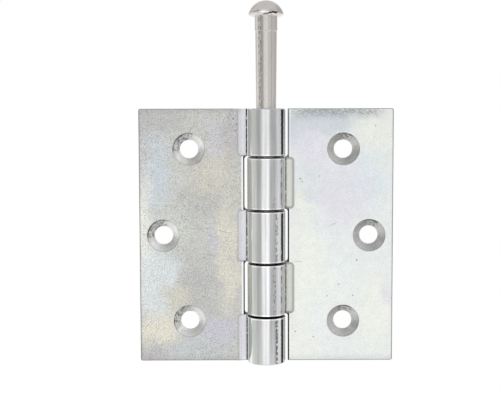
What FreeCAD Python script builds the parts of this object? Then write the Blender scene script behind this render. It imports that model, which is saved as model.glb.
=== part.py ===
"""A steel butt hinge of rolled sheet: two leaves with swaged knuckles and a loose pin with a domed head.

The pin's axis stands along Z. The leaves lie open and flat in the XZ plane, their countersunk faces to -Y.
The origin is at mid-height, in line with the pin, on the plane of the leaves' backs. Sizes are millimetres.
"""

import FreeCAD, Part
import math
import os
from FreeCAD import Vector

# The open hinge, and the sheet that its leaves are pressed from
HINGE_HEIGHT = 80.0
LEAF_REACH = 40.0
SHEET = 2.4
LEAF_CORNER_RADIUS = 0.6
SHEARED_EDGE = 0.2

# The rolled knuckles: each end one, and the centre lines of the joints between the three in the middle
BORE_DIAMETER = 7.1
END_KNUCKLE_HEIGHT = 15.0
MIDDLE_KNUCKLE_COUNT = 3
KNUCKLE_GAP = 0.3
KNUCKLE_EDGE = 0.3
SEAM_GAP = 0.35

# The swage, a bend that carries each knuckle's sheet back from the leaf to the rear of the roll
AXIS_TO_LEAF_FACE = 1.5
SWAGE_START = 9.0
SWAGE_BEND_RADIUS = 1.5
SWAGE_CORNER_RADIUS = 1.3

# The notches that take the other leaf's knuckles
NOTCH_CLEARANCE = 0.9
NOTCH_CORNER_RADIUS = 1.0

# The screw holes: two near the corners and one further out at mid-height, in each leaf
SCREW_HOLE_DIAMETER = 5.8
SCREW_HOLE_LAND = 0.15
OUTER_HOLES_X = 24.3
OUTER_HOLES_Z = 27.3
MIDDLE_HOLE_X = 32.5

# The pin, drawn out of the knuckles as far as it stands in the photograph
PIN_DRAWN_OUT = 28.4
PIN_LENGTH_UNDER_HEAD = 79.0
HEAD_DIAMETER = 10.8
HEAD_HEIGHT = 4.9
HEAD_RIM_RADIUS = 0.9
COLLAR_CLEARANCE = 0.05
COLLAR_LENGTH = 4.5
COLLAR_STEP_HEIGHT = 0.15
SHANK_TOP_CLEARANCE = 0.2
SHANK_TAPER_LENGTH = 29.0
SHANK_END_CLEARANCE = 0.45
PIN_END_CHAMFER = 0.8

BORE_RADIUS = BORE_DIAMETER / 2
BARREL_RADIUS = BORE_RADIUS + SHEET
AXIS_Y = -(AXIS_TO_LEAF_FACE + SHEET)
NOTCH_EDGE = BARREL_RADIUS + NOTCH_CLEARANCE
TOP = HINGE_HEIGHT / 2
LEFT, RIGHT = -1, 1

# How far cutters stand out of what they cut, and joined pieces reach into each other
OVERLAP = 1.0
SAME_PLACE = 1e-6


def joint_heights():
    """The centre lines of the joints between knuckles, from the lowest up."""
    lowest = END_KNUCKLE_HEIGHT - TOP
    pitch = (HINGE_HEIGHT - 2 * END_KNUCKLE_HEIGHT) / MIDDLE_KNUCKLE_COUNT
    return [lowest + i * pitch for i in range(MIDDLE_KNUCKLE_COUNT + 1)]


def knuckle_spans():
    """The lower and upper end of each knuckle, from the lowest up."""
    joints = joint_heights()
    lower = [-TOP] + [z + KNUCKLE_GAP / 2 for z in joints]
    upper = [z - KNUCKLE_GAP / 2 for z in joints] + [TOP]
    return list(zip(lower, upper))


def own_spans(side):
    """The left leaf carries the first, third and fifth knuckle, and the right leaf those between."""
    return knuckle_spans()[0 if side == LEFT else 1 :: 2]


def in_frame(side, out, back):
    """A point given by its distances from the pin's axis, out along the leaf and towards its back."""
    return Vector(side * out, AXIS_Y + back, 0)


def swage_angle():
    """The slope at which the bend runs tangent into the roll."""
    bend_back = AXIS_TO_LEAF_FACE + SHEET + SWAGE_BEND_RADIUS
    distance = math.hypot(SWAGE_START, bend_back)
    return math.asin((BARREL_RADIUS + SWAGE_BEND_RADIUS) / distance) - math.atan2(bend_back, SWAGE_START)


def seam_angle():
    """How far round the roll runs from the rear of the barrel, up to its seam on its own leaf's side."""
    meets_swage = 2 * math.pi - swage_angle() - math.acos(BORE_RADIUS / BARREL_RADIUS)
    return meets_swage - SEAM_GAP / BARREL_RADIUS


def around(side, radius, angle):
    """A point on a circle about the pin's axis, by its angle from the rear, away from the own leaf."""
    return in_frame(side, -radius * math.sin(angle), radius * math.cos(angle))


def roll_arc(side, radius, start, end):
    middle = (start + end) / 2
    return Part.Arc(*(around(side, radius, angle) for angle in (start, middle, end)))


def bend_arc(side, radius, angle):
    """One face of the bend between the flat leaf and the sloping sheet."""
    centre_back = AXIS_TO_LEAF_FACE + SHEET + SWAGE_BEND_RADIUS
    points = [
        in_frame(side, SWAGE_START - radius * math.sin(a), centre_back - radius * math.cos(a))
        for a in (0, angle / 2, angle)
    ]
    return Part.Arc(*points)


def knuckle_section(side):
    """The sheet seen along the pin: flat, bent back, tangent to the roll and round to the seam."""
    slope = swage_angle()
    seam = seam_angle()
    root = SWAGE_START + OVERLAP
    back_bend = bend_arc(side, SWAGE_BEND_RADIUS, slope)
    face_bend = bend_arc(side, SWAGE_BEND_RADIUS + SHEET, slope)
    outside = roll_arc(side, BARREL_RADIUS, -slope, seam)
    inside = roll_arc(side, BORE_RADIUS, -slope, seam)
    root_back = in_frame(side, root, AXIS_TO_LEAF_FACE + SHEET)
    root_face = in_frame(side, root, AXIS_TO_LEAF_FACE)
    edges = [
        Part.LineSegment(root_back, back_bend.StartPoint),
        back_bend,
        Part.LineSegment(back_bend.EndPoint, outside.StartPoint),
        outside,
        Part.LineSegment(outside.EndPoint, inside.EndPoint),
        inside,
        Part.LineSegment(inside.StartPoint, face_bend.EndPoint),
        face_bend,
        Part.LineSegment(face_bend.StartPoint, root_face),
        Part.LineSegment(root_face, root_back),
    ]
    return Part.Face(Part.Wire(Part.__sortEdges__([e.toShape() for e in edges])))


def along_the_sheet(edge, x):
    """Whether an edge runs straight through the sheet, front to back, at this distance from the pin."""
    start, end = edge.Vertexes[0], edge.Vertexes[-1]
    at_x = abs(start.X - x) < SAME_PLACE and abs(end.X - x) < SAME_PLACE
    return at_x and abs(start.Z - end.Z) < SAME_PLACE


def rounded_prism(side, near, far, low, high, radius):
    """A block through the sheet, seen from the front, with the two corners of its far side rounded."""
    through = 4 * BARREL_RADIUS
    x0, x1 = sorted((side * near, side * far))
    block = Part.makeBox(x1 - x0, through, high - low, Vector(x0, -through / 2, low))
    return block.makeFillet(radius, [e for e in block.Edges if along_the_sheet(e, side * far)])


def flat_leaf(side):
    """The flat of the leaf up to its notch edge, with windows where its knuckles' sheet bends back."""
    width = LEAF_REACH - NOTCH_EDGE
    x0 = NOTCH_EDGE if side == RIGHT else -LEAF_REACH
    leaf = Part.makeBox(width, SHEET, HINGE_HEIGHT, Vector(x0, -SHEET, -TOP))
    corners = [e for e in leaf.Edges if along_the_sheet(e, side * LEAF_REACH)]
    leaf = leaf.makeFillet(LEAF_CORNER_RADIUS, corners)
    face_edges = [e for e in leaf.Edges if all(abs(v.Y + SHEET) < SAME_PLACE for v in e.Vertexes)]
    leaf = leaf.makeChamfer(SHEARED_EDGE, face_edges)
    past_the_edge = OVERLAP + SWAGE_CORNER_RADIUS
    for low, high in own_spans(side):
        window_low = low if low > -TOP else low - past_the_edge
        window_high = high if high < TOP else high + past_the_edge
        leaf = leaf.cut(rounded_prism(side, 0, SWAGE_START, window_low, window_high, SWAGE_CORNER_RADIUS))
    return leaf


def rolled_knuckle(side, low, high):
    """One rolled knuckle with its edges broken, and the sheet that joins it to the leaf."""
    roll = knuckle_section(side).extrude(Vector(0, 0, high - low))
    roll.translate(Vector(0, 0, low))
    arcs = [e for e in roll.Edges if hasattr(e.Curve, "Radius")]
    rims = [e for e in arcs if abs(e.Curve.Radius - BARREL_RADIUS) < SAME_PLACE]
    return roll.makeChamfer(KNUCKLE_EDGE, rims)


def notch_webs(side, low, high):
    """The rounded corners that the notches leave beside one knuckle, in the sheet that bends back."""
    web_low = max(low - NOTCH_CORNER_RADIUS, -TOP)
    web_high = min(high + NOTCH_CORNER_RADIUS, TOP)
    web = knuckle_section(side).extrude(Vector(0, 0, web_high - web_low))
    web.translate(Vector(0, 0, web_low))
    clear_of_roll = BARREL_RADIUS - SEAM_GAP
    keep = Part.makeBox(
        SWAGE_START - clear_of_roll,
        4 * BARREL_RADIUS,
        web_high - web_low,
        Vector(min(side * clear_of_roll, side * SWAGE_START), AXIS_Y, web_low),
    )
    web = web.common(keep)
    for notch_low, notch_high in ((low - HINGE_HEIGHT, low), (high, high + HINGE_HEIGHT)):
        notch = rounded_prism(side, -NOTCH_EDGE, NOTCH_EDGE, notch_low, notch_high, NOTCH_CORNER_RADIUS)
        web = web.cut(notch)
    return web


def countersunk_hole(x, z):
    """A screw hole's cutter: straight through, and opened at 90 degrees towards the face."""
    hole = SCREW_HOLE_DIAMETER / 2
    depth = SHEET - SCREW_HOLE_LAND
    into_sheet = Vector(0, 1, 0)
    start = Vector(x, -SHEET - OVERLAP, z)
    through = Part.makeCylinder(hole, SHEET + 2 * OVERLAP, start, into_sheet)
    cone = Part.makeCone(hole + depth + OVERLAP, hole, depth + OVERLAP, start, into_sheet)
    return through.fuse(cone)


def leaf(side):
    solid = flat_leaf(side)
    for low, high in own_spans(side):
        solid = solid.fuse(rolled_knuckle(side, low, high))
        solid = solid.fuse(notch_webs(side, low, high))
    for z in (-OUTER_HOLES_Z, OUTER_HOLES_Z):
        solid = solid.cut(countersunk_hole(side * OUTER_HOLES_X, z))
    solid = solid.cut(countersunk_hole(side * MIDDLE_HOLE_X, 0))
    return solid.removeSplitter()


def loose_pin():
    """One turned piece: domed head, collar that fills the bore, and a shank that tapers to its lower end."""
    head = HEAD_DIAMETER / 2
    collar = BORE_RADIUS - COLLAR_CLEARANCE
    shank_top = BORE_RADIUS - SHANK_TOP_CLEARANCE
    shank_end = BORE_RADIUS - SHANK_END_CLEARANCE
    dome_height = HEAD_HEIGHT - HEAD_RIM_RADIUS
    dome_radius = (head**2 + dome_height**2) / (2 * dome_height)
    dome_centre = HEAD_HEIGHT - dome_radius
    half_way = math.asin(head / dome_radius) / 2
    rim_side = HEAD_RIM_RADIUS * math.sin(math.pi / 4)
    rim_centre = head - HEAD_RIM_RADIUS
    top = Vector(0, 0, HEAD_HEIGHT)
    widest = Vector(head, 0, HEAD_RIM_RADIUS)
    under_rim = Vector(rim_centre, 0, 0)
    dome_middle = Vector(dome_radius * math.sin(half_way), 0, dome_centre + dome_radius * math.cos(half_way))
    rim_middle = Vector(rim_centre + rim_side, 0, HEAD_RIM_RADIUS - rim_side)
    outline = [
        under_rim,
        Vector(collar, 0, 0),
        Vector(collar, 0, -COLLAR_LENGTH),
        Vector(shank_top, 0, -COLLAR_LENGTH - COLLAR_STEP_HEIGHT),
        Vector(shank_end, 0, -SHANK_TAPER_LENGTH),
        Vector(shank_end, 0, PIN_END_CHAMFER - PIN_LENGTH_UNDER_HEAD),
        Vector(shank_end - PIN_END_CHAMFER, 0, -PIN_LENGTH_UNDER_HEAD),
        Vector(0, 0, -PIN_LENGTH_UNDER_HEAD),
        top,
    ]
    edges = [Part.Arc(top, dome_middle, widest).toShape(), Part.Arc(widest, rim_middle, under_rim).toShape()]
    edges += [Part.LineSegment(a, b).toShape() for a, b in zip(outline, outline[1:])]
    profile = Part.Face(Part.Wire(edges))
    pin = profile.revolve(Vector(0, 0, 0), Vector(0, 0, 1), 360)
    pin.translate(Vector(0, AXIS_Y, TOP + PIN_DRAWN_OUT))
    return pin


os.makedirs("parts", exist_ok=True)
parts = {"left_leaf": leaf(LEFT), "right_leaf": leaf(RIGHT), "loose_pin": loose_pin()}
for name, shape in parts.items():
    print(name, shape.ShapeType, len(shape.Solids), round(shape.Volume, 1), shape.isValid())
    shape.exportStep(os.path.join("parts", name + ".step"))
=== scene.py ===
"""A zinc-plated butt hinge with its loose pin drawn part way out, on a pale studio set."""

import bpy
import math
from mathutils import Matrix, Vector


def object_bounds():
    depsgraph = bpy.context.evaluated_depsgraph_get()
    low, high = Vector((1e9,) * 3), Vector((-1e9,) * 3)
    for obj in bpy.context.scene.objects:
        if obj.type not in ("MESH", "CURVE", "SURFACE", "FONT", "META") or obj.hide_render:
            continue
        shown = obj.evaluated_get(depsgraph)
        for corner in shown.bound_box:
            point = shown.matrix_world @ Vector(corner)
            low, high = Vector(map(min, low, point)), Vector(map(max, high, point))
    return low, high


MM = 0.001

# The camera, as the photograph was taken: a little from the left and from above, in metres and degrees
CAMERA_DISTANCE = 0.350
CAMERA_AZIMUTH = -1.03
CAMERA_ELEVATION = 6.56
CAMERA_AIM = Vector((-5.1, 1.1, 11.0)) * MM
CAMERA_ROLL = -0.16
FOCAL_PIXELS = 1099.8
IMAGE_WIDTH = 500
SENSOR_WIDTH = 36.0
NEAREST_SEEN, FARTHEST_SEEN = 0.01, 20

# The floor, in metres, and the glow that lifts it to white
FLOOR_DROP = 0.8
FLOOR_SIZE = 6.0
FLOOR_LEVEL = 0.85
FLOOR_GLOW = 0.43

# The lamp, in metres and watts
KEY_PLACE, KEY_AIM = (-0.35, -0.9, 0.75), (0, 0, 0.02)
KEY_WIDTH, KEY_HEIGHT, KEY_POWER = 1.4, 0.35, 3

# Brightness of the studio by the direction it is seen in: degrees from the camera's side, positive to the
# right, and a level. Tuned until the barrel's measured brightness came near the photograph's.
STUDIO_BANDS = [
    (-180, 1.0), (-150, 1.0), (-138, 0.7), (-126, 0.95), (-112, 1.15), (-98, 1.1), (-84, 1.0), (-66, 0.92),
    (-55, 0.64), (-34, 0.58), (-26, 1.3), (-11, 1.35), (-5, 0.95), (1, 1.5), (13, 1.5), (22, 0.68),
    (58, 0.63), (68, 1.0), (94, 1.0), (106, 0.65), (138, 0.65), (150, 1.0), (180, 1.0),
]
STUDIO_LEVEL = 0.71

# How steep a direction is where the bands give way overhead, and where the light from below comes in
OVERHEAD_STEEPNESS, OVERHEAD_BRIGHTNESS = (0.55, 0.85), 1.0
BELOW_STEEPNESS, FROM_BELOW = (0.05, -0.3), 0.7

# Places on the hinge, in the frame's millimetres. "Out" is the distance from the pin's axis along a leaf.
PIN_AXIS_Y = -3.9
LEFT, RIGHT = -1.0, 1.0
OUTER_HOLES_OUT, OUTER_HOLES_Z, MIDDLE_HOLE_OUT = 24.3, 27.3, 32.5
SINK_RADIUS = 5.15
BORE_WALL = 3.6
ROLL_EDGE = 6.0
NOTCH_WALL = 7.3
SWAGE_EDGE = 8.9
SWAGE_CORNER = 1.3
LEAF_REACH = 40.0
TOP = 40.0
HEAD_UNDERSIDE = 68.4

# The heights between which each leaf has its own knuckles, as distances from the middle
OWN_KNUCKLES = {LEFT: [(-1.0, 8.18), (25.15, 41.0)], RIGHT: [(8.48, 24.85)]}

# Where two knuckles meet, as distances from the middle
KNUCKLE_JOINTS = (8.33, 25.0)

# Where changes come in, from the first number, where there is none, to the second. They are heights or
# distances out or, for the dark rims, distances from a joint.
# The leaf's darker edges, the swage's darker stretch towards its bend, the knuckles' darker lower part and
# the dark rims in the joints are painted shade; the swage's lighter stretch near the roll is painted light.
TOP_BAND_Z, LIGHTER_NOTCH_Z, EDGE_SHADE_SPAN = (35.8, 39.3), (24.8, 25.2), (TOP - 2.4, TOP - 0.3)
SWAGE_SHADE_OUT, SWAGE_PAINTED_LIGHT_OUT, SWAGE_GROOVE_OUT = (7.2, 9.1), (8.0, 6.3), (6.5, 6.2)
BARREL_SHADE_Z, BARREL_ROUGHER_Z, JOINT_RIM_SHADE_Z = (16, -26), (20, 26), (22, 20)
FLECKS_Z, MORE_FLECKS_Z = (14, 9), (-23, -27)
JOINT_RIM_SHADE = (0.34, 0.27)

# What other marks lie between: distances out, degrees to the right of the front, distances from a joint,
# and on the pin's head places across it and heights above its fold. The knuckles' greenish side is a painted
# reflection and their light flank and the rims at the joints are painted highlights; on the pin's head lie a
# painted highlight, painted shade in the fold and a small painted dark reflection.
TOP_BAND_OUT = (8, 36)
GREENISH_REFLECTION_SIDE, FLANK_HIGHLIGHT, WORN_STEEL = (-75, -22), (-66, -50), (-49, -27)
JOINT_RIM_HIGHLIGHT = (0.42, 0.85)
HEAD_HIGHLIGHT_X, FOLD_X, HEAD_DARK_REFLECTION_X, HEAD_DARK_REFLECTION_ABOVE_FOLD = (-3.1, 3.3), (-1.0, 3.4), (-4.2, -1.9), (1.0, 1.3)

# The shades as they show on screen, 0 to 255: of the plating, the leaves' marks and edges, the countersinks,
# the knuckles and the pin. Those of the plating were measured in areas of the photograph and then gathered
# into these few. The others were tuned until measured regions agreed with it.
SHADES = {
    "dull": (188, 189, 187), "mauve": (190, 187, 190), "slate": (197, 200, 202), "lilac": (199, 198, 208),
    "ice": (202, 209, 214), "sage": (208, 210, 204), "straw": (207, 203, 191), "wheat": (217, 213, 201),
    "cream": (226, 221, 206), "mist": (216, 222, 223), "sky": (219, 227, 231), "rose": (222, 220, 228),
    "chalk": (231, 233, 226), "milk": (235, 237, 230), "frost": (229, 235, 235),

    # The notch lip is a painted highlight; the swage's border and crevice line and the notch wall are painted
    # shade.
    "pit": (95, 95, 98), "scratch": (130, 130, 128), "top band": (145, 150, 152),
    "swage border": (140, 139, 141), "swage groove": (50, 55, 58), "notch lip": (250, 250, 252),
    "notch wall": (60, 62, 64), "cut edge": (140, 140, 140), "end edge": (165, 165, 164),

    # The countersinks' turned grey carries painted highlights, and their pits and rim gather on a
    # painted-shade side.
    "turned": (255, 255, 253), "sink pits": (90, 91, 91), "sink outline": (120, 121, 120),
    "sink rim": (70, 71, 71),

    # On the knuckles are painted highlights on the flank and the joints' bright rims, painted reflections in
    # the greenish tint and the dark streak, and painted shade in the joints and the hole for the pin.
    "burnished dark": (206, 209, 204), "burnished light": (236, 234, 241), "greenish": (200, 206, 197),
    "flank": (250, 252, 248), "dark streak": (10, 11, 12), "fleck": (80, 82, 85),
    "bright rim": (252, 252, 250), "dark rim": (14, 14, 15), "bore_shade": (22, 22, 23),

    # On the pin's head: a bright painted highlight, a black fold of painted shade and a small painted dark
    # reflection.
    "steel dark": (199, 195, 191), "steel light": (219, 214, 211), "worn steel": (108, 105, 105),
    "head_highlight": (217, 213, 210), "fold": (22, 21, 21), "head_dark_reflection": (110, 107, 106),
}

# The noise textures: scale, detail, roughness, and how x, y and z are stretched
EVENLY = (1, 1, 1)
NOISES = {
    "drift": (0.16, 3.0, 0.5, EVENLY),
    "clouds": (0.35, 4.0, 0.6, EVENLY),
    "coarse grain": (0.9, 2.0, 0.6, EVENLY),
    "sharp grain": (2.5, 2.0, 0.75, EVENLY),
    "fine grain": (3.0, 2.0, 0.7, EVENLY),
    "dots": (1.1, 2.0, 0.7, EVENLY),
    "frost": (2.6, 2.0, 0.8, EVENLY),
    "frost smears": (0.28, 1.0, 0.4, (0.5, 1, 1.3)),
    "frost breaks": (0.5, 2.0, 0.6, EVENLY),
    "speckled areas": (0.09, 2.0, 0.5, EVENLY),
    "specks": (3.1, 1.0, 0.5, EVENLY),
    "top band": (2.8, 2.0, 0.7, (0.6, 1, 1.3)),
    "rings": (1.5, 2.0, 0.7, (2, 1, 1)),
    "chatter": (0.9, 3.0, 0.7, EVENLY),
    "spokes": (1.0, 3.0, 0.7, (0.16, 1, 1)),
    "burnish": (1.6, 3.0, 0.6, (0.06, 1, 0.03)),
    "streak breaks": (1.2, 2.0, 0.6, (1, 1, 0.6)),
    "streak sway": (0.9, 3.0, 0.7, EVENLY),
    "ragged rims": (1.3, 2.0, 0.7, (0.05, 1, 1)),
    "drawn steel": (1.5, 3.0, 0.7, (0.1, 1, 0.05)),
    "worn steel": (1.7, 3.0, 0.7, (1, 1, 0.45)),
    "fold": (0.8, 3.0, 0.7, EVENLY),
    "head_highlight": (0.9, 3.0, 0.7, EVENLY),
}

# Soft patches in the plating, placed where areas measured in the photograph differ in tone: middle x and z,
# reach in x and z, softness, shade and strength
LEFT_PATCHES = [
    (-34, 37, 9, 5, 0.5, "dull", 0.8),
    (-36.5, 27, 3.5, 6, 0.6, "slate", 0.9),
    (-34.0, 18, 4.5, 11, 0.6, "ice", 0.95),
    (-38.3, -3, 3.6, 19, 0.6, "chalk", 0.9),
    (-27, 8, 5, 9, 0.7, "sage", 0.7),
    (-16.5, 29, 3.2, 7, 0.7, "lilac", 0.8),
    (-10.9, 30, 3.0, 9, 0.6, "mauve", 0.8),
    (-16, 18, 7, 9, 0.7, "straw", 0.8),
    (-21.5, 10, 7, 6, 0.7, "dull", 0.8),
    (-12, 2, 2.6, 7, 0.7, "wheat", 0.8),
    (-16.5, -2, 1.6, 7, 0.7, "lilac", 0.5),
    (-34.5, -16, 6.5, 13, 0.6, "mist", 0.9),
    (-21, -17, 7, 11, 0.7, "dull", 0.85),
    (-28.5, -21, 4.5, 5, 0.7, "straw", 0.8),
    (-12, -13, 3.6, 10, 0.7, "wheat", 0.85),
    (-33, -30, 7.5, 4.5, 0.6, "cream", 0.9),
    (-22.5, -36, 10, 4, 0.6, "slate", 0.9),
    (-15, -30, 6.5, 4, 0.6, "lilac", 0.85),
    (-37.5, -38.5, 5, 2, 0.6, "mauve", 0.8),
]
RIGHT_PATCHES = [
    (18, 36, 15, 3.4, 0.7, "ice", 0.9),
    (10, 33, 5, 6, 0.6, "ice", 0.8),
    (14.5, 27, 6.5, 7, 0.7, "rose", 0.9),
    (35, 32, 6, 10, 0.7, "chalk", 0.9),
    (31, 19, 8, 8, 0.7, "sky", 0.85),
    (14, 16, 6, 6, 0.7, "mist", 0.8),
    (23, 13, 8, 9, 0.7, "rose", 0.85),
    (10.6, 9.5, 2.5, 6, 0.7, "chalk", 0.9),
    (12, -6, 5, 9, 0.7, "milk", 0.85),
    (22.5, -12, 8, 6, 0.7, "frost", 0.7),
    (14, -20, 9, 13, 0.7, "milk", 0.8),
    (17, -27, 3.5, 8, 0.7, "frost", 0.6),
    (35, -24, 7, 12, 0.7, "milk", 0.9),
    (38.7, -20, 1.8, 4, 0.7, "rose", 0.7),
    (9, -35, 6, 6, 0.7, "milk", 0.7),
]

# Small dark pits in the plating: x, z and radius, and the share of it where their soft border has its middle
PIT_SHARE = 0.75
LEFT_PITS = [
    (-11.2, 38.2, 0.3), (-10.2, 36.9, 0.45), (-9.5, 37.7, 0.3), (-9.3, 35.0, 0.35), (-9.6, 33.2, 0.3),
    (-12.0, 37.3, 0.3), (-10.6, 34.2, 0.25), (-38.6, 0.5, 0.3), (-27.6, 25.2, 0.25), (-25.4, 5.2, 0.3),
]
RIGHT_PITS = [
    (10.7, 18.0, 0.35), (11.3, 17.1, 0.3), (16.7, 18.8, 0.25), (28.6, -7.9, 0.4), (27.4, -19.2, 0.35),
    (19.2, -19.3, 0.3), (14.9, -32.4, 0.35), (22.9, -15.6, 0.3), (34.3, 34.6, 0.3), (9.2, -30.7, 0.35),
]

# Fine scratches: middle x and z, half the length, and the tilt in degrees
LEFT_SCRATCHES = [
    (-20.7, 2.3, 4.3, 2), (-10.9, 9.8, 2.6, 44), (-13.2, 1.2, 2.0, -14), (-17.8, -6.2, 2.0, -12),
    (-23.5, -11.5, 1.8, 30), (-26.0, 12.5, 1.6, -35),
]
RIGHT_SCRATCHES = [(10.2, -8.3, 1.3, -4), (21.0, 3.5, 1.6, 25)]
SCRATCH_HALF_WIDTH = 0.13

# How far noise moves the patches, in millimetres, and what share of that bends the scratches. How far it
# moves the light on the countersinks and the streak on the knuckles, in degrees.
PATCH_DRIFT, SCRATCH_BEND = 11, 0.03
SINK_CHATTER, STREAK_SWAY = 9.0, 7.0

# The frosted worn area of the left leaf: middle x and z, reach in x and z, softness
FROST = (-19.5, -2, 10, 22, 0.8)

# The countersinks get a painted highlight in two sectors across from each other, as turned metal shows, and
# painted light on the side below the hole, which faces up: the middle of the first sector in degrees from the
# right, and how much each of the two adds
SHINE_AT, SHINE_SHARE, LIT_BELOW_SHARE = 35, 0.3, 0.25

# What tells the leaves apart. The countersinks go from a dull to a bright grey, which carries their painted
# highlights, and their dark side, where denser pits and a dark rim are painted shade, is given in degrees
# from the right. The border of the swage, painted shade along its bend, is given by its start and end,
# measured from the radius of the swage's corner, and its strength.
# The dark streak on the knuckles, a painted dark reflection, is given by its start and end, in degrees from
# their front that count away from the leaf, its strength, and how much of it is broken off. The flecks start
# and end in such degrees.
LEAVES = {
    LEFT: {
        "base": (199, 200, 195), "grain": 0.7, "patches": LEFT_PATCHES, "pits": LEFT_PITS,
        "scratches": LEFT_SCRATCHES, "sinks": (190, 255), "dark side": (78, 188),
        "swage": (247, 246, 255), "border": (-0.3, 0.3, 0.32), "lip strength": 0.85,
        "streak": (49.5, 60.5, 1.0, 0.24), "flecks": (27, 36),
    },
    RIGHT: {
        "base": (228, 232, 231), "grain": 0.32, "patches": RIGHT_PATCHES, "pits": RIGHT_PITS,
        "scratches": RIGHT_SCRATCHES, "sinks": (170, 232), "dark side": (55, 112),
        "swage": (231, 232, 224), "border": (-0.7, -0.05, 0.6), "lip strength": 0.25,
        "streak": (-54.5, -47.5, 0.6, 0.45), "flecks": (-29, -20),
    },
}

# The shank's painted light: where its lighter sides come in and where its painted highlight line lies, in
# degrees from its front
PIN_SIDES_LIGHT, PIN_HIGHLIGHT_LINE = (42, 58), (11, 27)
HEAD_BRIGHTNESS = 1.13

# Roughness of the surfaces, and the relief of the plating and the steel in metres
FLAT_ROUGHNESS, SINK_ROUGHNESS, PIN_ROUGHNESS = 0.42, 0.3, 0.24
KNUCKLE_ROUGHNESS, TOP_KNUCKLE_ROUGHNESS = 0.17, 0.24
LEAF_RELIEF, PIN_RELIEF = 0.00004, 0.00002


def rgb(red, green, blue):
    """A colour written as it shows on screen, 0 to 255, as the linear colour that a node takes."""

    def linear(value):
        value /= 255
        return value / 12.92 if value <= 0.04045 else ((value + 0.055) / 1.055) ** 2.4

    return (linear(red), linear(green), linear(blue), 1.0)


def grey(level):
    """A grey given by its linear level, as the colour that a node takes."""
    return (level, level, level, 1.0)


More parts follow.
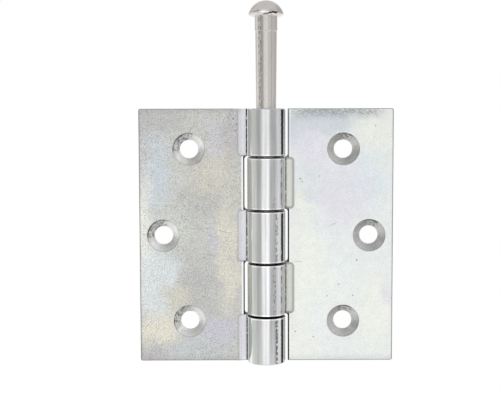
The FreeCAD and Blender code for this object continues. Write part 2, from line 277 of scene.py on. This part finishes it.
class Graph:
    """Builds a node tree from short calls, most of which return an output socket."""

    def __init__(self, tree):
        self.tree = tree
        tree.nodes.clear()

    def node(self, kind, settings=None, inputs=None):
        node = self.tree.nodes.new(kind)
        for name, value in (settings or {}).items():
            setattr(node, name, value)
        for name, value in (inputs or {}).items():
            self.feed(node.inputs[name], value)
        return node

    def feed(self, socket, value):
        if isinstance(value, bpy.types.NodeSocket):
            self.tree.links.new(value, socket)
        else:
            socket.default_value = value

    def end(self, kind, shader):
        """Closes the tree with an output node."""
        self.feed(self.node(kind).inputs["Surface"], shader.outputs[0])

    def math(self, operation, a, b=0.0, c=0.0):
        return self.node("ShaderNodeMath", {"operation": operation}, {0: a, 1: b, 2: c}).outputs[0]

    def vector(self, operation, a, b=(0, 0, 0)):
        node = self.node("ShaderNodeVectorMath", {"operation": operation}, {0: a, 1: b})
        return node.outputs["Value" if operation == "LENGTH" else "Vector"]

    def combine(self, x, y, z):
        return self.node("ShaderNodeCombineXYZ", inputs={"X": x, "Y": y, "Z": z}).outputs[0]

    def separate(self, vector):
        return self.node("ShaderNodeSeparateXYZ", inputs={"Vector": vector}).outputs

    def degrees(self, rise, run):
        """The angle that a rise makes over a run."""
        return self.math("MULTIPLY", self.math("ARCTAN2", rise, run), 180 / math.pi)

    def step(self, value, start, end):
        """0 up to start and 1 from end on, smooth between. With start above end it falls instead."""
        low, high, first, last = (start, end, 0.0, 1.0) if start < end else (end, start, 1.0, 0.0)
        node = self.node(
            "ShaderNodeMapRange",
            {"interpolation_type": "SMOOTHSTEP"},
            {"Value": value, "From Min": low, "From Max": high, "To Min": first, "To Max": last},
        )
        return node.outputs["Result"]

    def between(self, value, low, high, soft):
        """1 between two values and 0 outside them."""
        risen, fallen = self.step(value, low - soft, low + soft), self.step(value, high + soft, high - soft)
        return self.math("MULTIPLY", risen, fallen)

    def off(self, mask):
        """1 where a mask is 0, and 0 where it is 1."""
        return self.math("SUBTRACT", 1.0, mask)

    def any_of(self, masks):
        total = masks[0]
        for mask in masks[1:]:
            total = self.math("MAXIMUM", total, mask)
        return total

    def all_of(self, masks):
        total = masks[0]
        for mask in masks[1:]:
            total = self.math("MULTIPLY", total, mask)
        return total

    def patch(self, where, x, z, reach_x, reach_z, soft):
        """1 inside an ellipse drawn on the leaf and 0 outside it, with a soft border."""
        offset = self.vector("SUBTRACT", where, (x, 0, z))
        offset = self.vector("MULTIPLY", offset, (1 / reach_x, 0, 1 / reach_z))
        return self.step(self.vector("LENGTH", offset), 1 + soft, 1 - soft)

    def noise(self, where, name, output="Fac"):
        scale, detail, roughness, stretch = NOISES[name]
        where = self.vector("MULTIPLY", where, stretch)
        inputs = {"Vector": where, "Scale": scale, "Detail": detail, "Roughness": roughness}
        return self.node("ShaderNodeTexNoise", inputs=inputs).outputs[output]

    def curve(self, value, start, end, stops):
        """A grey that follows a list of places and levels, with the places given between start and end."""
        share = self.math("DIVIDE", self.math("SUBTRACT", value, float(start)), float(end - start))
        ramp = self.node("ShaderNodeValToRGB", inputs={"Fac": share})
        marks = ramp.color_ramp.elements
        while len(marks) < len(stops):
            marks.new(0.5)
        for mark, (at, level) in zip(marks, stops):
            mark.position = (at - start) / (end - start)
            mark.color = grey(level)
        return ramp.outputs["Color"]

    def raised(self, level, mask, change):
        """A level that changes by so much where a mask is 1."""
        return self.math("MULTIPLY_ADD", mask, change, level)

    def swung(self, level, noise, change):
        """A level moved up and down by a noise of 0 to 1."""
        return self.raised(level, self.math("SUBTRACT", noise, 0.5), change)

    def scale(self, colour, factor):
        colour, factor = (value[:3] if isinstance(value, tuple) else value for value in (colour, factor))
        return self.vector("MULTIPLY", colour, factor)

    def lighten(self, colour, mask, change):
        """The colour made lighter, or darker with a negative change, where a mask is 1."""
        return self.scale(colour, self.raised(1.0, mask, change))

    def vary(self, colour, noise, change):
        """The colour made lighter and darker by a noise."""
        return self.scale(colour, self.swung(1.0, noise, change))

    def mix(self, share, a, b):
        node = self.node("ShaderNodeMix", {"data_type": "RGBA"})
        self.feed(node.inputs["Factor"], share)
        for socket, value in ((node.inputs[6], a), (node.inputs[7], b)):
            self.feed(socket, value)
        return node.outputs[2]

    def paint(self, colour, mask, shade, strength=1.0):
        """The colour with a named shade over it where a mask is 1."""
        return self.mix(self.math("MULTIPLY", mask, strength), colour, rgb(*SHADES[shade]))

    def metal(self, colour, roughness, height, relief):
        """Closes the tree as a metal that stands up by the relief where the height is 1."""
        bump = self.node("ShaderNodeBump", inputs={"Height": height, "Strength": 1.0, "Distance": relief})
        self.end("ShaderNodeOutputMaterial", self.node("ShaderNodeBsdfPrincipled", inputs={
            "Base Color": colour, "Metallic": 1.0, "Roughness": roughness, "Normal": bump.outputs[0],
        }))


class LeafGraph(Graph):
    """The node tree of one leaf, with the places and masks that its parts share."""

    def __init__(self, tree, side):
        super().__init__(tree)
        self.side, self.leaf = side, LEAVES[side]
        coordinates = self.node("ShaderNodeTexCoord").outputs
        self.where = self.vector("MULTIPLY", coordinates["Object"], (1 / MM, 1 / MM, 1 / MM))
        self.x, self.y, self.z = self.separate(self.where)
        self.out, self.height = self.math("ABSOLUTE", self.x), self.math("ABSOLUTE", self.z)
        from_axis = self.vector("MULTIPLY", self.vector("ADD", self.where, (0, -PIN_AXIS_Y, 0)), (1, 1, 0))
        self.off_axis = self.vector("LENGTH", from_axis)
        self.off_roll = self.step(self.off_axis, ROLL_EDGE, ROLL_EDGE + 0.1)

        _, facing_y, facing_z = self.separate(coordinates["Normal"])
        self.toward_front = self.math("MULTIPLY", facing_y, -1.0)
        self.front = self.step(self.toward_front, 0.3, 0.5)
        self.upright = self.step(self.math("ABSOLUTE", facing_z), 0.4, 0.6)
        self.on_end = self.math("MULTIPLY", self.upright, self.step(self.height, TOP - 0.5, TOP - 0.3))
        self.off_end = self.off(self.on_end)

        self.fine = self.noise(self.where, "fine grain")
        self.dots = self.noise(self.where, "dots")

    def frosted(self, level, drifted):
        """The left leaf's worn area with bright specks and broken smears, and dark specks all over."""
        worn = self.patch(drifted, *FROST)
        specks = self.step(self.noise(self.where, "frost"), 0.56, 0.68)
        level = self.raised(level, self.math("MULTIPLY", worn, specks), 0.22)
        off_smear = self.math("ABSOLUTE", self.math("SUBTRACT", self.noise(self.where, "frost smears"), 0.52))
        unbroken = self.step(self.noise(self.where, "frost breaks"), 0.5, 0.6)
        level = self.raised(level, self.all_of([worn, self.step(off_smear, 0.006, 0.002), unbroken]), -0.2)
        speckled = self.raised(0.5, self.step(self.noise(self.where, "speckled areas"), 0.4, 0.6), 0.5)
        dark_specks = self.step(self.noise(self.where, "specks"), 0.55, 0.72)
        return self.raised(level, self.math("MULTIPLY", speckled, dark_specks), -0.34)

    def plating(self):
        """The flat of the leaf: soft patches, clouds and grain, then pits, scratches and a duller band."""
        drift = self.vector("SUBTRACT", self.noise(self.where, "drift", "Color"), (0.5, 0.5, 0.5))
        drift = self.vector("MULTIPLY", drift, (PATCH_DRIFT, 0, PATCH_DRIFT))
        drifted = self.vector("ADD", self.where, drift)
        colour = rgb(*self.leaf["base"])
        for *ellipse, shade, strength in self.leaf["patches"]:
            colour = self.paint(colour, self.patch(drifted, *ellipse), shade, strength)

        grain = self.leaf["grain"]
        level = self.swung(1.0, self.noise(self.where, "clouds"), 0.16)
        level = self.swung(level, self.noise(self.where, "coarse grain"), 0.45 * grain)
        level = self.swung(level, self.noise(self.where, "sharp grain"), 1.9 * grain)
        if self.side == LEFT:
            level = self.frosted(level, drifted)
        colour = self.scale(colour, level)

        for x, z, radius in self.leaf["pits"]:
            reach = PIT_SHARE * radius
            pit = self.patch(self.where, x, z, reach, reach, 0.4)
            colour = self.paint(colour, pit, "pit", strength=0.6)
        for x, z, reach, tilt in self.leaf["scratches"]:
            turned = self.node("ShaderNodeVectorRotate", {"rotation_type": "Y_AXIS"}, {
                "Vector": self.where, "Center": (x, 0, z), "Angle": math.radians(tilt),
            }).outputs[0]
            bent = self.vector("ADD", turned, self.scale(drift, (SCRATCH_BEND, 0, SCRATCH_BEND)))
            scratch = self.patch(bent, x, z, reach, SCRATCH_HALF_WIDTH, 0.6)
            colour = self.paint(colour, scratch, "scratch", strength=0.4)

        if self.side == RIGHT:
            mottle = self.step(self.noise(self.where, "top band"), 0.3, 0.6)
            across = self.between(self.out, *TOP_BAND_OUT, 4)
            band = self.all_of([self.step(self.z, *TOP_BAND_Z), across, mottle])
            colour = self.paint(colour, band, "top band", strength=0.9)
        return colour

    def swage(self, colour):
        """The sheet that slopes back to the roll, darker towards its bend as painted shade and lighter near
        the roll as painted light, with painted shade along the soft line where it starts and in the crevice
        by the roll.
        """
        depths = [
            (self.math("SUBTRACT", self.height, low), self.math("SUBTRACT", high, self.height))
            for low, high in OWN_KNUCKLES[self.side]
        ]
        inside = self.any_of([self.math("MINIMUM", *depth) for depth in depths])
        corner_out = self.math("MAXIMUM", self.math("SUBTRACT", self.out, SWAGE_EDGE - SWAGE_CORNER), 0.0)
        corner_up = self.math("MAXIMUM", self.math("SUBTRACT", SWAGE_CORNER, inside), 0.0)
        corner = self.vector("LENGTH", self.combine(corner_out, corner_up, 0.0))
        pressed = self.step(corner, SWAGE_CORNER + 0.05, SWAGE_CORNER - 0.35)
        sharply_off_roll = self.step(self.off_axis, ROLL_EDGE - 0.02, ROLL_EDGE + 0.02)
        slope = self.all_of([pressed, self.front, sharply_off_roll])
        sloping = self.vary(rgb(*self.leaf["swage"]), self.fine, self.leaf["grain"])
        # Painted shade towards the bend of the slope, and painted light near the roll, where the roll shades
        # it.
        sloping = self.lighten(sloping, self.step(self.out, *SWAGE_SHADE_OUT), -0.27)
        sloping = self.lighten(sloping, self.step(self.out, *SWAGE_PAINTED_LIGHT_OUT), 0.25)
        colour = self.mix(slope, colour, sloping)

        # The border is painted shade along the bend where the slope starts.
        border_from, border_to, strength = self.leaf["border"]
        border = self.between(corner, SWAGE_CORNER + border_from, SWAGE_CORNER + border_to, 0.3)
        border = self.all_of([border, self.front, self.off_roll])
        colour = self.paint(colour, border, "swage border", strength)
        # The crevice between the slope and the roll gets painted shade.
        groove_shade = self.all_of([slope, self.step(self.out, *SWAGE_GROOVE_OUT), self.step(self.dots, 0.3, 0.5)])
        return self.paint(colour, groove_shade, "swage groove")

    def notches_and_edges(self, colour):
        """The notches, with a painted highlight where they are rolled over and painted shade down their
        walls, and the leaf's edges, with painted shade near them.
        """
        own = [self.between(self.height, low, high, 0.25) for low, high in OWN_KNUCKLES[self.side]]
        other = self.off(self.any_of(own))
        # The lip is a painted highlight along the rolled-over notch edge.
        lip = self.between(self.out, NOTCH_WALL - 0.05, NOTCH_WALL + 0.5, 0.12)
        lip = self.all_of([lip, other, self.step(self.toward_front, 0.98, 0.995)])
        colour = self.paint(colour, lip, "notch lip", self.leaf["lip strength"])

        sideways = [self.step(self.toward_front, 0.85, 0.75), self.step(self.toward_front, -0.75, -0.65)]
        cut = self.all_of([*sideways, self.off_roll])
        colour = self.paint(colour, cut, "cut edge")
        # Painted shade down the notch walls and along the gap beside the other leaf's knuckles, lighter on
        # the right leaf's top notch.
        near = self.step(self.out, NOTCH_WALL, NOTCH_WALL - 0.15)
        facing = self.all_of([self.off_roll, near, other, self.front])
        walls = self.all_of([cut, self.off_end, self.step(self.out, NOTCH_WALL, NOTCH_WALL - 0.2)])
        notch = self.any_of([facing, walls])
        if self.side == RIGHT:
            lighter = self.step(self.z, *LIGHTER_NOTCH_Z)
            notch = self.math("MULTIPLY", notch, self.raised(1.0, lighter, -0.65))
        colour = self.paint(colour, notch, "notch wall")
        colour = self.paint(colour, self.math("MULTIPLY", self.on_end, cut), "end edge")

        # Painted shade near the leaf's edges: on the left leaf near the top and bottom, on the right leaf
        # near the bottom.
        toward_edge = self.height if self.side == LEFT else self.math("MULTIPLY", self.z, -1.0)
        near_edge_shade = self.math("MULTIPLY", self.step(toward_edge, *EDGE_SHADE_SPAN), self.front)
        colour = self.lighten(colour, near_edge_shade, -0.11)
        # A darker painted line along the rolled side and bottom edges, painted shade.
        outer_edge_shade = self.step(self.out, LEAF_REACH - 0.55, LEAF_REACH - 0.25)
        outer_edge_shade = self.any_of([outer_edge_shade, self.step(self.z, 0.45 - TOP, 0.2 - TOP)])
        return self.lighten(colour, self.all_of([outer_edge_shade, self.front, self.off_roll]), -0.28)

    def countersinks(self, colour):
        """The countersinks, with painted highlights, painted light and painted shade by sectors. Returns the
        colour and their mask.
        """
        row = self.math("ROUND", self.math("DIVIDE", self.z, OUTER_HOLES_Z))
        hole_out = self.raised(MIDDLE_HOLE_OUT, self.math("ABSOLUTE", row), OUTER_HOLES_OUT - MIDDLE_HOLE_OUT)
        local_x = self.math("SUBTRACT", self.x, self.math("MULTIPLY", hole_out, self.side))
        local_z = self.math("SUBTRACT", self.z, self.math("MULTIPLY", row, OUTER_HOLES_Z))
        from_hole = self.vector("LENGTH", self.combine(local_x, 0.0, local_z))
        sink = self.step(from_hole, SINK_RADIUS + 0.15, SINK_RADIUS)
        sink = self.all_of([sink, self.front, self.step(self.toward_front, 0.9, 0.8)])

        angle = self.degrees(local_z, local_x)
        rings = self.noise(self.combine(from_hole, row, self.side * 3), "rings")
        spokes = self.noise(self.combine(angle, row, self.side * 5), "spokes")
        angle = self.swung(angle, self.noise(self.combine(local_x, row, local_z), "chatter"), SINK_CHATTER)
        angle = self.math("FLOORED_MODULO", angle, 360.0)
        # Painted highlight in two sectors across from each other, and painted light on the lower side, which
        # faces up.
        from_shine = self.math("MULTIPLY", self.math("SUBTRACT", angle, SHINE_AT), math.radians(2))
        shine = self.raised(0.5, self.math("COSINE", from_shine), SHINE_SHARE)
        upward = self.math("SINE", self.math("MULTIPLY", angle, math.radians(1)))
        shine = self.raised(shine, upward, -LIT_BELOW_SHARE)
        dull, bright = (rgb(shown, shown, shown) for shown in self.leaf["sinks"])
        turned = self.scale(self.mix(shine, dull, bright), rgb(*SHADES["turned"]))
        for noise, change in ((rings, 0.45), (spokes, 0.5), (self.fine, 0.45)):
            turned = self.vary(turned, noise, change)

        # Pits all round and, on the dark side, denser pits and a dark rim: partly real pits, partly painted
        # shade.
        shaded_side = self.between(angle, *self.leaf["dark side"], 8)
        pits = self.math("MULTIPLY", self.raised(0.12, shaded_side, 0.58), self.step(self.dots, 0.48, 0.6))
        turned = self.paint(turned, pits, "sink pits")
        outline = self.between(from_hole, SINK_RADIUS - 0.2, SINK_RADIUS + 0.1, 0.12)
        turned = self.paint(turned, outline, "sink outline", strength=0.35)
        rim = self.step(from_hole, SINK_RADIUS - 0.5, SINK_RADIUS - 0.2)
        rim = self.all_of([shaded_side, rim, self.step(self.dots, 0.35, 0.5)])
        turned = self.paint(turned, rim, "sink rim", strength=0.65)
        return self.mix(sink, colour, turned), sink

    def knuckles(self, colour):
        """The rolls, burnished along the pin, with painted reflections, highlights and shade. Returns the
        colour and their mask.
        """
        away = self.math("MULTIPLY", self.x, -self.side)
        turn = self.degrees(away, self.math("SUBTRACT", PIN_AXIS_Y, self.y))
        burnish = self.noise(self.combine(turn, 0.0, self.z), "burnish")
        tone = self.mix(burnish, rgb(*SHADES["burnished dark"]), rgb(*SHADES["burnished light"]))
        rightward = self.math("MULTIPLY", turn, -self.side)
        # Painted reflection: a greenish tint down the knuckles' left side, then a painted highlight on the
        # left flank.
        tone = self.paint(tone, self.between(rightward, *GREENISH_REFLECTION_SIDE, 8), "greenish", strength=0.6)
        tone = self.paint(tone, self.between(rightward, *FLANK_HIGHLIGHT, 7), "flank", strength=0.8)
        tone = self.vary(tone, burnish, 0.45)
        # Painted shade: the knuckles darker lower down.
        shade_below = self.raised(1.0, self.step(self.z, *BARREL_SHADE_Z), -0.17)
        tone = self.scale(tone, self.swung(shade_below, self.fine, 0.12))

        # The dark streak, a painted dark reflection of the gap beside the knuckle, and the flecks
        start, end, strength, broken = self.leaf["streak"]
        unbroken = self.step(self.noise(self.where, "streak breaks"), broken, broken + 0.12)
        swayed = self.swung(turn, self.noise(self.combine(0.0, 0.0, self.z), "streak sway"), STREAK_SWAY)
        streak = self.all_of([self.between(swayed, start, end, 2), unbroken, self.off_end])
        tone = self.paint(tone, streak, "dark streak", strength)
        lower_down = self.step(self.z, *MORE_FLECKS_Z)
        dotted = self.step(self.raised(self.dots, lower_down, 0.07), 0.47, 0.56)
        flecks = self.between(turn, *self.leaf["flecks"], 3)
        flecks = self.all_of([flecks, self.step(self.z, *FLECKS_Z), dotted, self.off_end])
        tone = self.paint(tone, flecks, "fleck", strength=self.raised(0.55, lower_down, 0.3))

        # Painted highlights on the rims at the joints, then painted shade on the rims and faces inside the
        # joints and down the hole for the pin
        ragged = self.noise(self.combine(turn, 0.0, self.math("ROUND", self.z)), "ragged rims")
        joints = [self.math("ABSOLUTE", self.math("SUBTRACT", self.height, at)) for at in KNUCKLE_JOINTS]
        off_joint = self.swung(self.math("MINIMUM", *joints), ragged, 0.2)
        tone = self.paint(tone, self.between(off_joint, *JOINT_RIM_HIGHLIGHT, 0.08), "bright rim", strength=0.75)
        joint_rim_shade = self.all_of([self.step(off_joint, *JOINT_RIM_SHADE), self.step(self.z, *JOINT_RIM_SHADE_Z)])
        tone = self.paint(tone, joint_rim_shade, "dark rim")
        joint_end_shade = self.step(self.swung(self.off_axis, ragged, -0.3), ROLL_EDGE - 0.08, ROLL_EDGE - 0.14)
        joint_end_shade = self.all_of([self.upright, joint_end_shade, self.off_end])
        bore_shade = self.step(self.off_axis, BORE_WALL + 0.1, BORE_WALL)
        tone = self.paint(tone, self.any_of([joint_end_shade, bore_shade]), "bore_shade")

        roll = self.step(self.off_axis, ROLL_EDGE + 0.05, ROLL_EDGE)
        return self.mix(roll, colour, tone), roll


def studio_world():
    """White behind the object, and for reflections a soft studio with brighter and darker stretches."""
    world = bpy.data.worlds.new("studio")
    world.use_nodes = True
    graph = Graph(world.node_tree)
    x, y, z = graph.separate(graph.node("ShaderNodeTexCoord").outputs["Generated"])
    bands = graph.curve(graph.degrees(x, graph.math("MULTIPLY", y, -1.0)), -180, 180, STUDIO_BANDS)
    overhead = graph.step(graph.math("ABSOLUTE", z), *OVERHEAD_STEEPNESS)
    studio = graph.mix(overhead, bands, grey(OVERHEAD_BRIGHTNESS))
    below = graph.step(z, *BELOW_STEEPNESS)
    studio = graph.scale(studio, graph.raised(STUDIO_LEVEL, below, FROM_BELOW * STUDIO_LEVEL))
    seen = graph.node("ShaderNodeLightPath").outputs["Is Camera Ray"]
    colour = graph.mix(seen, studio, grey(1.0))
    graph.end("ShaderNodeOutputWorld", graph.node("ShaderNodeBackground", inputs={"Color": colour}))
    bpy.context.scene.world = world


def new_material(name):
    material = bpy.data.materials.new(name)
    material.use_nodes = True
    return material


def floor_material():
    """A white floor that keeps the object's shadow and still shows as white as the backdrop."""
    material = new_material("stage_white")
    graph = Graph(material.node_tree)
    matt = graph.node("ShaderNodeBsdfDiffuse", inputs={"Color": grey(FLOOR_LEVEL)})
    glow = graph.node("ShaderNodeEmission", inputs={"Color": grey(1.0), "Strength": FLOOR_GLOW})
    nothing = graph.node("ShaderNodeEmission", inputs={"Color": grey(0.0), "Strength": 0.0})
    ray = graph.node("ShaderNodeLightPath").outputs
    seen = graph.any_of([ray["Is Camera Ray"], ray["Is Glossy Ray"], ray["Is Transmission Ray"]])
    lift = graph.node("ShaderNodeMixShader", inputs={0: seen, 1: nothing.outputs[0], 2: glow.outputs[0]})
    both = graph.node("ShaderNodeAddShader", inputs={0: matt.outputs[0], 1: lift.outputs[0]})
    graph.end("ShaderNodeOutputMaterial", both)
    return material


def leaf_material(name, side):
    material = new_material(name)
    graph = LeafGraph(material.node_tree, side)
    colour = graph.notches_and_edges(graph.swage(graph.plating()))
    colour, sink = graph.countersinks(colour)
    colour, roll = graph.knuckles(colour)
    rougher = graph.step(graph.z, *BARREL_ROUGHER_Z)
    rolled = graph.mix(rougher, grey(KNUCKLE_ROUGHNESS), grey(TOP_KNUCKLE_ROUGHNESS))
    roughness = graph.mix(sink, graph.mix(roll, grey(FLAT_ROUGHNESS), rolled), grey(SINK_ROUGHNESS))
    graph.metal(colour, roughness, graph.math("MULTIPLY", graph.fine, graph.off(roll)), LEAF_RELIEF)
    return material


def pin_material(name):
    """Drawn steel, streaked along the shank, with painted light on the shank's sides and front, and a painted
    highlight, painted shade and a painted dark reflection on the front of the head.
    """
    material = new_material(name)
    graph = Graph(material.node_tree)
    place = graph.node("ShaderNodeTexCoord").outputs["Object"]
    where = graph.vector("MULTIPLY", place, (1 / MM, 1 / MM, 1 / MM))
    x, y, z = graph.separate(where)
    turn = graph.degrees(x, graph.math("SUBTRACT", PIN_AXIS_Y, y))
    fine = graph.noise(where, "fine grain")
    drawn = graph.noise(graph.combine(turn, 0.0, z), "drawn steel")
    colour = graph.mix(drawn, rgb(*SHADES["steel dark"]), rgb(*SHADES["steel light"]))
    colour = graph.vary(colour, fine, 0.2)
    shank = graph.step(z, HEAD_UNDERSIDE, HEAD_UNDERSIDE - 0.5)
    flecks = graph.step(graph.noise(where, "worn steel"), 0.46, 0.58)
    worn = graph.all_of([graph.between(turn, *WORN_STEEL, 5), shank, flecks])
    colour = graph.paint(colour, worn, "worn steel", strength=0.58)
    # Painted light on the shank's sides and a painted highlight line down its front.
    shank_painted_light = graph.lighten(colour, graph.step(graph.math("ABSOLUTE", turn), *PIN_SIDES_LIGHT), 0.28)
    shank_painted_light = graph.lighten(shank_painted_light, graph.between(turn, *PIN_HIGHLIGHT_LINE, 5), 0.5)
    colour = graph.mix(shank, graph.scale(colour, grey(HEAD_BRIGHTNESS)), shank_painted_light)

    # The head's front: a ragged painted highlight over a fold of painted shade, and a small painted dark
    # reflection
    front = graph.step(y, PIN_AXIS_Y, PIN_AXIS_Y - 1)
    fold_z = graph.raised(HEAD_UNDERSIDE - 0.15, graph.noise(graph.combine(x, 0.0, 0.0), "fold"), 1.4)
    above_fold = graph.raised(graph.math("SUBTRACT", z, fold_z), x, -0.13)
    highlight_top = graph.raised(0.75, graph.noise(where, "head_highlight"), 0.9)
    over_highlight = graph.math("SUBTRACT", above_fold, highlight_top)
    head_highlight = [graph.step(above_fold, 0.1, 0.35), graph.step(over_highlight, 0.15, -0.15)]
    head_highlight = graph.all_of([*head_highlight, graph.between(x, *HEAD_HIGHLIGHT_X, 0.5), front])
    colour = graph.paint(colour, head_highlight, "head_highlight")
    off_fold = graph.math("SUBTRACT", graph.math("ABSOLUTE", above_fold), graph.raised(0.12, x, 0.05))
    fold = graph.all_of([graph.step(off_fold, 0.12, -0.05), graph.between(x, *FOLD_X, 0.4), front])
    colour = graph.paint(colour, fold, "fold")
    # A small painted dark reflection above the fold.
    head_dark_reflection = [graph.between(above_fold, *HEAD_DARK_REFLECTION_ABOVE_FOLD, 0.15), graph.between(x, *HEAD_DARK_REFLECTION_X, 0.4)]
    colour = graph.paint(colour, graph.all_of([*head_dark_reflection, front]), "head_dark_reflection", strength=0.7)
    graph.metal(colour, PIN_ROUGHNESS, fine, PIN_RELIEF)
    return material


def floor(height):
    half = FLOOR_SIZE / 2
    corners = [(x, y, height) for x, y in ((-half, -half), (half, -half), (half, half), (-half, half))]
    mesh = bpy.data.meshes.new("floor")
    mesh.from_pydata(corners, [], [(0, 1, 2, 3)])
    mesh.materials.append(floor_material())
    plane = bpy.data.objects.new("floor", mesh)
    bpy.context.scene.collection.objects.link(plane)


def softbox():
    """A rectangular lamp to the upper left of the camera."""
    lamp = bpy.data.lights.new("key", "AREA")
    lamp.shape = "RECTANGLE"
    lamp.size, lamp.size_y = KEY_WIDTH, KEY_HEIGHT
    lamp.energy = KEY_POWER
    holder = bpy.data.objects.new("key", lamp)
    holder.location = KEY_PLACE
    holder.rotation_mode = "QUATERNION"
    holder.rotation_quaternion = (Vector(KEY_AIM) - Vector(KEY_PLACE)).to_track_quat("-Z", "Y")
    bpy.context.scene.collection.objects.link(holder)


def camera():
    azimuth, elevation = math.radians(CAMERA_AZIMUTH), math.radians(CAMERA_ELEVATION)
    level, rise = CAMERA_DISTANCE * math.cos(elevation), CAMERA_DISTANCE * math.sin(elevation)
    place = Vector((level * math.sin(azimuth), -level * math.cos(azimuth), rise))
    lens = bpy.data.cameras.new("camera")
    lens.sensor_width = SENSOR_WIDTH
    lens.lens = FOCAL_PIXELS * SENSOR_WIDTH / IMAGE_WIDTH
    lens.clip_start, lens.clip_end = NEAREST_SEEN, FARTHEST_SEEN
    holder = bpy.data.objects.new("camera", lens)
    aimed = (CAMERA_AIM - place).to_track_quat("-Z", "Y").to_matrix().to_4x4()
    rolled = Matrix.Rotation(math.radians(CAMERA_ROLL), 4, "Z")
    holder.matrix_world = Matrix.Translation(place) @ aimed @ rolled
    bpy.context.scene.collection.objects.link(holder)
    bpy.context.scene.camera = holder


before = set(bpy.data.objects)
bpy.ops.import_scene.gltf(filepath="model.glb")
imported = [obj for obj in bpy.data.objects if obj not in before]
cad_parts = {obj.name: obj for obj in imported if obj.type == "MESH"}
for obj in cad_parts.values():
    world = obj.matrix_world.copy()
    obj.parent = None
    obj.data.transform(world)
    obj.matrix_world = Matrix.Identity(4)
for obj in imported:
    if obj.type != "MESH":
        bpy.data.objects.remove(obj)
cad_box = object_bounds()

camera()
studio_world()
floor(cad_box[0].z - FLOOR_DROP)
softbox()

materials = {
    "left_leaf": leaf_material("left_leaf_zinc", LEFT),
    "right_leaf": leaf_material("right_leaf_zinc", RIGHT),
    "loose_pin": pin_material("pin_steel"),
}
for node, material in materials.items():
    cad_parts[node].data.materials.clear()
    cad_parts[node].data.materials.append(material)

bpy.context.scene.view_settings.view_transform = "Standard"
